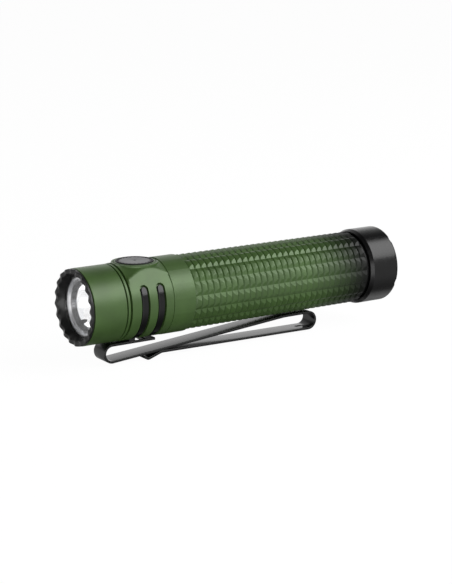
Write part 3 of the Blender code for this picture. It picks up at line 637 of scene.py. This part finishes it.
def boss(along, radius, degrees):
    """Widens the head into the switch's boss: flanks tangent to the head, cut by a cone about the button."""
    if radius < SWITCH_RADIUS - 0.02 or not BOSS_SPAN[0] <= along <= BOSS_SPAN[1]:
        return along, radius, degrees
    folded = degrees if degrees <= 90 else 180 - degrees
    if folded <= BOSS_FLANK_ANGLE:
        return along, radius, degrees
    flank = SWITCH_RADIUS / math.cos(math.radians(folded - BOSS_FLANK_ANGLE))
    sine, cosine = math.sin(math.radians(folded)), math.cos(math.radians(folded))
    base, height, slope = BOSS_CONE
    apex = base + slope * height
    square = cosine**2 - (slope * sine) ** 2
    linear = 2 * slope * apex * sine
    constant = (along - SWITCH_X) ** 2 - apex**2
    root = math.sqrt(max(0.0, linear**2 - 4 * square * constant))
    cone = (root - linear) / (2 * square) if abs(square) > 1e-6 else -constant / linear
    raised = soft_least(soft_least(flank, cone, 0.4), BOSS_SEAT / sine, 0.1)
    width = max(1e-6, min(0.5, flank - SWITCH_RADIUS))
    return along, -soft_least(-radius, -raised, width), degrees


def head():
    """Head with its turned grooves, the boss of the side switch, its pocket and the slots for the claws."""
    outline = [(HEAD_START, 0), (HEAD_START, HEAD_RADIUS, 0.2)]
    for start, width in HEAD_GROOVES:
        floor = HEAD_RADIUS - GROOVE_DEPTH
        outline += [(start, HEAD_RADIUS, 0.07), (start, floor)]
        top = HEAD_RADIUS if start + width < SWITCH_START - 0.5 else SWITCH_RADIUS
        outline += [(start + width, floor), (start + width, top, 0.07)]
    rows = 40
    for index in range(rows + 1):
        outline.append((BOSS_SPAN[0] + (BOSS_SPAN[1] - BOSS_SPAN[0]) * index / rows, SWITCH_RADIUS))
    shoulder = NECK_START - GAP
    spigot = THREAD_RADIUS - 0.2
    outline += [(shoulder, SWITCH_RADIUS - 0.12), (shoulder, spigot), (SPIGOT_END, spigot), (SPIGOT_END, 0)]
    made = turned("head", filleted(outline), 240, shape=boss)

    bore = OPTIC_RADIUS + 0.8
    step = BEZEL_SKIRT_END + 0.5
    past_end = SPIGOT_END + 1
    cavity = [(0, 0), (0, ENGINE_BORE), (step, ENGINE_BORE), (step, bore)]
    cavity += [(ENGINE_END, bore), (ENGINE_END, 0)]
    rear = [(REAR_BORE_START, 0), (REAR_BORE_START, TUBE_BORE), (past_end, TUBE_BORE), (past_end, 0)]
    pocket = [
        (POCKET_FLOOR, 0),
        (POCKET_FLOOR, POCKET_RADIUS),
        (BOSS_SEAT - 0.6, POCKET_RADIUS),
        (BOSS_SEAT - 0.6, BOSS_RIM),
        (BOSS_TOP - 0.16, BOSS_RIM),
        (BOSS_TOP - 0.16, BOSS_RIM + 0.4),
        (BOSS_TOP + 1, BOSS_RIM + 0.4),
        (BOSS_TOP + 1, 0),
    ]
    cutters = [turned("engine_cavity", cavity), turned("rear_bore", rear)]
    cutters.append(turned("switch_pocket", pocket, ROUND, upright))
    for number, centre in enumerate(CLAW_CENTRES):
        radii = (CLAW_RADII[0] - GAP, SWITCH_RADIUS + 1)
        cutters.append(band(f"claw_slot_{number}", centre, SLOT_WIDTH, radii, SLOT_TOP))
    combine(made, "DIFFERENCE", *cutters)
    finish(made, "light", "anodised_green", "head_housing")

    top = BOSS_TOP
    outline = ring_outline([
        (top, POCKET_RADIUS + 0.02, 0.1),
        (top, 6.5, 0.04),
        (top - 0.25, 6.55),
        (top - 0.25, 6.75),
        (top - 0.06, 6.8, 0.04),
        (top - 0.15, BOSS_RIM - 0.01, 0.1),
        (BOSS_SEAT - 0.59, BOSS_RIM - 0.01),
        (BOSS_SEAT - 0.59, POCKET_RADIUS + 0.02),
    ])
    finish(turned("switch_rim", outline, ROUND, upright), "light", "anodised_green", "head_housing")


def switch():
    """Metal button with a notched edge and a small indicator, in its rubber boot."""
    disc = BUTTON_RADIUS + 0.2

    def notched(along, radius, degrees):
        if radius < disc - 0.3:
            return along, radius, degrees
        turn = math.cos(math.radians(degrees * BUTTON_NOTCHES))
        bite = min(1.0, max(0.0, (turn - 0.15) / 0.25))
        return along, radius - 0.42 * bite, degrees

    top = BUTTON_TOP + 0.12
    button = filleted([
        (top - 0.3, 0),
        (top - 0.3, 0.4),
        (top, 0.5, 0.03),
        (top, disc - 0.5, 0.03),
        (top, disc, 0.12),
        (top - 1.2, disc),
        (top - 1.2, 1.2),
        (9.7, 1.2),
        (9.7, 0),
    ])
    made = turned("button", button, BUTTON_NOTCHES * 16, upright, shape=notched)
    finish(made, "side_button", "button_steel", "side_button")
    inner, outer = disc + 0.06, POCKET_RADIUS - 0.02
    raised = BOSS_TOP + 0.25
    boot = ring_outline([
        (raised, inner, 0.1),
        (raised, outer, 0.2),
        (9.9, outer),
        (9.9, 4.0),
        (10.3, 4.0),
        (10.3, inner),
    ])
    finish(turned("boot", boot, FINE, upright), "light", "black_rubber", "button_boot")


def grip_tube():
    """Tube with its smooth neck, thirty ring teeth crossed by lengthwise cuts, and the threaded tail."""
    steep = 0.7
    profile = [(0.0, 0.0), (0.05, 0.2), (0.12, steep), (0.2, 0.55), (0.34, 0.28)]
    profile += [(0.5, 0.18), (0.65, 0.1), (0.8, 0.03), (0.92, 0.0)]
    teeth = []
    for tooth in range(TEETH):
        tip = FIRST_TIP + tooth * TOOTH_PITCH
        teeth += [(tip + share * TOOTH_PITCH, GRIP_RADIUS - drop) for share, drop in profile]
    before = FIRST_TIP - TOOTH_PITCH
    lead = [(share * TOOTH_PITCH + before, GRIP_RADIUS - drop) for share, drop in profile[4:]]
    teeth = [point for point in lead + teeth if point[0] < GRIP_END - 0.2]

    pitch = 360 / SECTORS

    def crossed(along, radius, station):
        """Each cut's deepest line and its two edges fall on stations, the others spread over the crest."""
        sector, index = divmod(station, SECTOR_STATIONS)
        line = SECTOR_LINE + sector * pitch
        share = 0.0
        if NECK_END < along < GRIP_END and radius > THREAD_RADIUS + 0.2:
            share = 1 - (GRIP_RADIUS - radius) / CUT_DEPTH
        if index == 0:
            return along, radius - max(0.0, CUT_DEPTH * share), line
        upper, lower = [max(0.6, reach * share) for reach in CUT_REACH]
        crest = pitch - lower - upper
        return along, radius, line + upper + crest * (index - 1) / (SECTOR_STATIONS - 2)

    outline = filleted([
        (NECK_START - 0.29, 11.2),
        (NECK_START - 0.29, NECK_RADIUS, 0.06),
        (NECK_END, NECK_RADIUS, 0.2),
        (NECK_END, GRIP_RADIUS - steep),
    ])
    outline += teeth
    outline += filleted([
        (GRIP_END, teeth[-1][1]),
        (GRIP_END, THREAD_RADIUS),
        (TUBE_END, THREAD_RADIUS, 0.2),
        (TUBE_END, TUBE_BORE),
        (SPIGOT_END + GAP, TUBE_BORE),
        (SPIGOT_END + GAP, 11.2),
    ])
    made = turned("grip_tube", outline, shape=crossed, angles=list(range(SECTORS * SECTOR_STATIONS)))
    finish(made, "light", "anodised_green", "body_tube", sharp=13)


def tail():
    """Tail cap with its scalloped rim, the rubber boot round the button, and the button with its contact."""

    def scalloped(along, radius, degrees):
        pitch = 360 / SCALLOPS
        offset = (degrees - SCALLOP_AT + pitch / 2) % pitch - pitch / 2
        across = CAP_RADIUS * math.radians(offset)
        dip = max(0.0, SCALLOP_DEPTH - across**2 / (2 * SCALLOP_RADIUS))
        weight = max(0.0, min(1.0, (along - (LENGTH - 1.2)) / 1.2)) if radius > 11.4 else 0.0
        return along - dip * weight, radius, degrees

    recess = CAP_RADIUS - 1.3
    inside, outside = CAP_FLOOR
    outline = ring_outline([
        (CAP_START, 12.0, 0.1),
        (CAP_START + 1.2, CAP_RADIUS, 0.2),
        (LENGTH - 1.4, CAP_RADIUS),
        (LENGTH, CAP_RADIUS, 1.0),
        (LENGTH, recess, 0.3),
        (outside, recess),
        (outside, CAP_HOLE, 0.1),
        (inside, CAP_HOLE),
        (inside, CAP_THREAD),
        (CAP_START, CAP_THREAD),
    ])
    finish(turned("cap", outline, 180, shape=scalloped), "tail_cap", "anodised_black", "tail_cap")
    start, end, outer = extent("tail_boot")
    boot = ring_outline([(start, CAP_HOLE), (start, outer), (end, outer, 0.2), (end, CAP_HOLE, 0.2)])
    finish(turned("tail_seal", boot, FINE), "tail_cap", "black_rubber", "tail_boot")
    _, end, outer = extent("tail_button_trim")
    start = end - 0.3
    face = end - 0.6
    button = filleted([
        (115.4, 0),
        (face, 0),
        (face, 7.2, 0.15),
        (114.6, 7.2),
        (114.6, 8.8),
        (113.9, 8.8),
        (113.9, 4.2),
        (115.4, 4.2),
        (115.4, 0),
    ])
    finish(turned("tail_switch", button, FINE), "tail_button", "black_plastic", "tail_button")
    trim = ring_outline([(start, 5.3), (start, outer), (end, outer, 0.12), (end, 5.3, 0.12)])
    finish(turned("tail_trim", trim, FINE), "tail_button", "button_steel", "tail_button_trim")
    _, end, outer = extent("tail_insulator")
    ring = ring_outline([(start, 2.1), (start, outer), (end, outer, 0.1), (end, 2.1, 0.1)])
    finish(turned("contact_insulator", ring, FINE), "tail_button", "black_rubber", "tail_insulator")
    _, end, outer = extent("tail_charge_contact")
    contact = filleted([(start, 0), (start, outer), (end, outer, 0.12), (end, 0)])
    finish(turned("charge_contact", contact, FINE), "tail_button", "gold_plate", "tail_charge_contact")


def arc(hub, radius, first, last, step=6):
    """Points on a circle round the hub, from one angle to another in degrees."""
    count = math.ceil(abs(last - first) / step)
    angles = [math.radians(first + (last - first) * index / count) for index in range(count + 1)]
    return [(hub[0] + radius * math.cos(a), hub[1] + radius * math.sin(a)) for a in angles]


def strip(name, path):
    """The clip's flat steel along a path of (x, z) points on its middle line, with soft long edges."""
    edge = 0.18
    half, thick = CLIP_WIDTH / 2, STRIP / 2
    sides = ((-half, -thick), (half, -thick), (half, thick), (-half, thick))
    corners = ring_outline([(*corner, edge) for corner in sides])
    sections = []
    for index, (x, z) in enumerate(path):
        before = path[max(index - 1, 0)]
        after = path[min(index + 1, len(path) - 1)]
        run, rise = after[0] - before[0], after[1] - before[1]
        length = math.hypot(run, rise)
        sections.append([(x - rise / length * up, across, z + run / length * up) for across, up in corners])
    return swept(name, sections)


def clip():
    """One strip of spring steel in two pieces that meet on the inner arm. Each bends where the steel does."""
    front_hub = (FRONT_BEND_X, PLATE_TOP - STRIP / 2 - FRONT_BEND_RADIUS)
    tail_hub = (TAIL_BEND_X, TAIL_TOP - STRIP / 2 - TAIL_BEND_RADIUS)
    bend = arc(front_hub, FRONT_BEND_RADIUS, 90, 270 + math.degrees(CLIP_SLOPE))
    start_x, start_z = bend[-1]
    level = tail_hub[1] + TAIL_BEND_RADIUS
    knee_x = start_x + (level - start_z) / math.tan(CLIP_SLOPE)
    arm = filleted([(start_x, start_z), (knee_x, level, 20), (tail_hub[0], level)], step=1)
    seam = (CLIP_SEAM_X, start_z + (CLIP_SEAM_X - start_x) * math.tan(CLIP_SLOPE))
    plate = strip("clip_front", [(PLATE_END, PLATE_TOP - STRIP / 2), *bend, seam])
    for number, centre in enumerate(CLAW_CENTRES):
        claw = band(f"claw_{number}", centre, CLAW_WIDTH, CLAW_RADII, CLAW_TOP, 0.2)
        half = CLAW_WIDTH / 2 - 0.02
        side = CLIP_WIDTH / 2 - 0.03
        low = (centre - half, -side, PLATE_TOP - STRIP / 2)
        high = (centre + half, side, -CLAW_RADII[0] - 0.15)
        combine(plate, "UNION", block(f"claw_root_{number}", low, high), claw)
    window = [sum(CLAW_CENTRES) / 2 + side * (SLOT_WIDTH / 2 - 0.1) for side in (-1, 1)]
    across = CLIP_WIDTH / 2 - 0.6
    hole = block("plate_window", (window[0], -across, -14.0), (window[1], across, -12.0))
    combine(plate, "DIFFERENCE", hole)
    finish(plate, None, "clip_steel", "pocket_clip_base", "pocket_clip_inner_arm")
    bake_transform(plate)

    outer = filleted([(tail_hub[0], tail_hub[1] - TAIL_BEND_RADIUS), *OUTER_LIP], step=4)
    path = [seam, *arm[1:], *arc(tail_hub, TAIL_BEND_RADIUS, 90, -90)[1:], *outer[1:]]
    back = strip("clip_back", path)
    slot = [(math.cos(math.radians(a)), math.sin(math.radians(a))) for a in range(-90, 271, 15)]
    middle, half, end = LANYARD_SLOT
    holes = []
    for z in (-17.0, -19.5):
        outline = []
        for cosine, sine in slot[:-1]:
            shift = half if cosine > 0 else -half
            outline.append((middle + shift + end * cosine, end * sine, z))
        holes.append(outline)
    combine(back, "DIFFERENCE", swept("lanyard_slot", holes))
    finish(back, None, "clip_steel", "pocket_clip_outer_arm")
    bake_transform(back)


def inner_nodes():
    """Gives each CAD node that still shows the finish of its own slot."""
    for name, node in frame["nodes"].items():
        if node.hide_render:
            continue
        for held in node.material_slots:
            held.material = MATERIALS[held.material.name.split(".")[0]]


# --- studio ---------------------------------------------------------------------------------------


def emission(name, colour, strength, albedo=0.0):
    made = bpy.data.materials.new(name)
    made.use_nodes = True
    shader = made.node_tree.nodes["Principled BSDF"]
    shader.inputs["Base Color"].default_value = (albedo, albedo, albedo, 1)
    shader.inputs["Roughness"].default_value = 1.0
    shader.inputs["Specular IOR Level"].default_value = 0.0
    shader.inputs["Emission Color"].default_value = (*colour, 1)
    shader.inputs["Emission Strength"].default_value = strength
    return made


def backdrop():
    """White floor and dome that only the camera sees, so that they don't light the object from below."""
    floor_mesh = bmesh.new()
    bmesh.ops.create_grid(floor_mesh, x_segments=1, y_segments=1, size=4.0)
    mesh = bpy.data.meshes.new("floor")
    floor_mesh.to_mesh(mesh)
    floor = bpy.data.objects.new("floor", mesh)
    mesh.materials.append(emission("floor_white", (1, 1, 1), 0.97, 0.06))
    dome_mesh = bmesh.new()
    bmesh.ops.create_uvsphere(dome_mesh, u_segments=48, v_segments=24, radius=3.9)
    mesh = bpy.data.meshes.new("dome")
    dome_mesh.to_mesh(mesh)
    dome = bpy.data.objects.new("dome", mesh)
    mesh.materials.append(emission("dome_white", (1, 1, 1), 1.0))
    for made in (floor, dome):
        bpy.context.scene.collection.objects.link(made)
        made.visible_diffuse = False
        made.visible_glossy = False
        made.visible_transmission = False
        made.visible_shadow = False


def softbox(name, direction, distance, size, radiance, aim=LENGTH / 2):
    """An area light that looks at a point of the light's axis from a direction, sizes in metres."""
    middle = world((aim, 0, 0))
    data = bpy.data.lights.new(name, "AREA")
    data.shape = "RECTANGLE"
    data.size, data.size_y = size
    data.energy = radiance * math.pi * size[0] * size[1]
    lamp = bpy.data.objects.new(name, data)
    lamp.location = middle + Vector(direction).normalized() * distance
    lamp.rotation_euler = Vector(direction).to_track_quat("Z", "Y").to_euler()
    bpy.context.scene.collection.objects.link(lamp)
    return lamp


def sky():
    """Studio surround: white behind the light, grey low in front, and dark overhead, below and at its tail."""
    made = bpy.data.worlds.new("studio")
    bpy.context.scene.world = made
    made.use_nodes = True
    tree = made.node_tree
    nodes = Nodes(tree)
    way = nodes.tree.nodes.new("ShaderNodeTexCoord").outputs["Generated"]
    parts = nodes.add("ShaderNodeSeparateXYZ", {"Vector": way}).outputs

    def product(*values):
        total = values[0]
        for value in values[1:]:
            total = nodes.add("ShaderNodeMath", {0: total, 1: value}, operation="MULTIPLY").outputs[0]
        return total

    behind = nodes.ranged(parts["Y"], 0.15, 0.8, 0.0, 1.15, smooth=True)
    ground = nodes.ranged(parts["Z"], -0.6, -0.15, 0.1, 1.0, smooth=True)
    front = nodes.ranged(parts["Z"], 0.1, 0.45, 0.55, 0.03, smooth=True)
    low = nodes.ranged(parts["Z"], -0.9, -0.3, 0.10, 1.0, smooth=True)
    tail = nodes.ranged(parts["X"], 0.65, 0.9, 1.0, 0.15, smooth=True)
    nose = nodes.ranged(parts["X"], -0.9, -0.4, 1.5, 1.0, smooth=True)
    left = nodes.ranged(parts["X"], -0.5, -0.1, 0.25, 1.0, smooth=True)
    overhead = nodes.ranged(parts["Z"], 0.3, 0.6, 1.0, 0.45, smooth=True)
    back = product(behind, ground, left, overhead)
    both = nodes.add("ShaderNodeMath", {0: back, 1: front}, operation="MAXIMUM").outputs[0]
    tree.links.new(product(both, low, tail, nose), tree.nodes["Background"].inputs["Strength"])
    tree.nodes["Background"].inputs["Color"].default_value = (1, 1, 1, 1)


def camera():
    """Looks at the light from its front left, a little from above."""
    azimuth, elevation = math.radians(CAMERA_AZIMUTH), math.radians(CAMERA_ELEVATION)
    data = bpy.data.cameras.new("camera")
    made = bpy.data.objects.new("camera", data)
    bpy.context.scene.collection.objects.link(made)
    level = math.cos(elevation)
    back = Vector((math.sin(azimuth) * level, -math.cos(azimuth) * level, math.sin(elevation)))
    made.location = CAMERA_PLACE
    made.rotation_euler = back.to_track_quat("Z", "Y").to_euler()
    data.lens = CAMERA_LENS
    data.sensor_width = 36.0
    data.clip_start = 0.01
    bpy.context.scene.camera = made


def studio():
    backdrop()
    sky()
    softbox("key", (0.5365, -0.565, 0.627), 0.7, (0.9, 0.46), 3.4)
    softbox("fill", (-0.42, -0.9, -0.05), 0.7, (0.3, 0.45), 2.5)
    softbox("cap_card", (0.5365, 0.06, -0.839), 0.07, (0.035, 0.08), 0.45, aim=111.0)
    camera()
    bpy.context.scene.view_settings.view_transform = "Standard"


bezel()
lens()
optic()
head()
switch()
grip_tube()
tail()
clip()
inner_nodes()
studio()
